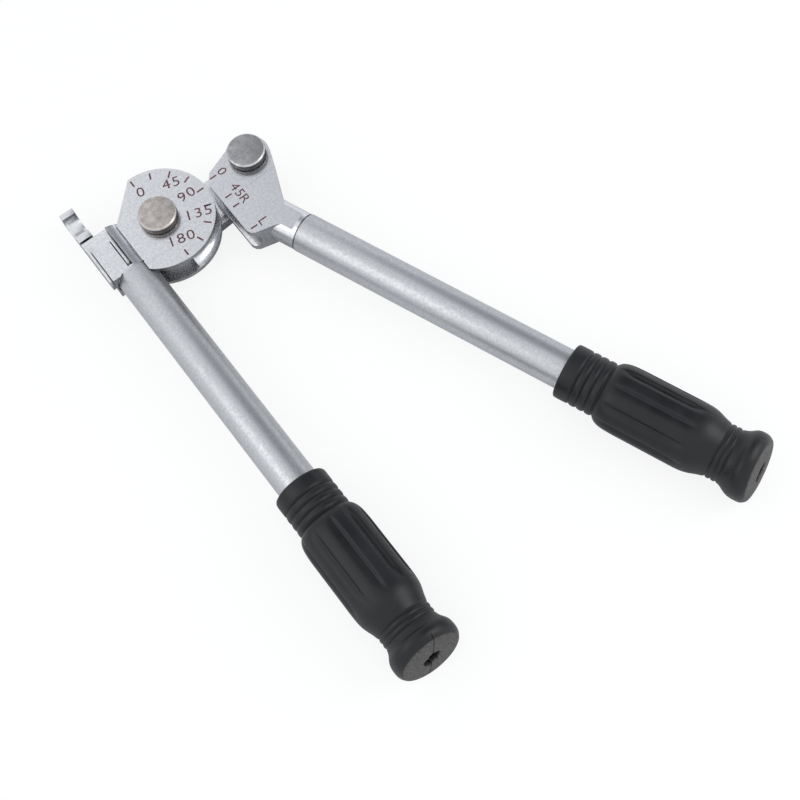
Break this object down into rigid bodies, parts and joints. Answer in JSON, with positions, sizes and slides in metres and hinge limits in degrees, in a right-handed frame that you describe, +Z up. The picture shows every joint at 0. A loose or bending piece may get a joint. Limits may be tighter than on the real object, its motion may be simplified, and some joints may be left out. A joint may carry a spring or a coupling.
{
  "type": "lever tube bender",
  "caption": "Hand-held lever bender for small metal tube: grooved forming wheel and shoe on two long rubber-gripped handles, joined by a link, with a swinging tube hook.",
  "frame": {"origin": "on the forming wheel's pivot axis, at the flat underside of its pivot pin, which is the plane that the tool lies on", "axes": "+Z up along the pivot axis, the wheel's handle runs along -Y, the tube enters along X; the shoe stands at the wheel's 90 degree mark"},
  "size_m": [0.147, 0.2385, 0.025],
  "materials": {
    "cast_steel": "satin",
    "handle_steel": "satin",
    "pin_steel": "satin",
    "dark_pin_steel": "satin",
    "washer_steel": "satin",
    "spring_steel": "satin",
    "grip_rubber": "matte",
    "mark_paint": "matte"
  },
  "bodies": {
    "wheel": {"forming_wheel": "cast_steel", "wheel_handle_tube": "handle_steel", "wheel_grip": "grip_rubber", "wheel_handle_pin": "spring_steel", "hook_pivot_pin": "pin_steel", "hook_spring_washer": "spring_steel"},
    "link": {"link_plate": "cast_steel", "wheel_pivot_pin": "pin_steel", "shoe_pivot_pin": "dark_pin_steel", "wheel_spacer": "washer_steel", "shoe_spacer": "washer_steel", "wheel_head_washer": "washer_steel", "shoe_head_washer": "washer_steel"},
    "shoe": {"forming_shoe": "cast_steel", "shoe_handle_tube": "handle_steel", "shoe_grip": "grip_rubber", "shoe_handle_pin": "spring_steel"},
    "hook": {"tube_hook": "cast_steel"}
  },
  "joints": [
    {"name": "link_swing", "type": "hinge", "parent": "wheel", "child": "link", "pos_m": [0, 0, 0.0125], "axis": [0, 0, 1], "range_deg": [-24, 95]},
    {"name": "shoe_swing", "type": "hinge", "parent": "link", "child": "shoe", "pos_m": [0.0407, 0.0012, 0.0125], "axis": [0, 0, 1], "range_deg": [0, 100]},
    {"name": "hook_swing", "type": "hinge", "parent": "wheel", "child": "hook", "pos_m": [-0.025, -0.0042, 0.0125], "axis": [-1, 0, 0], "range_deg": [0, 75]}
  ]
}
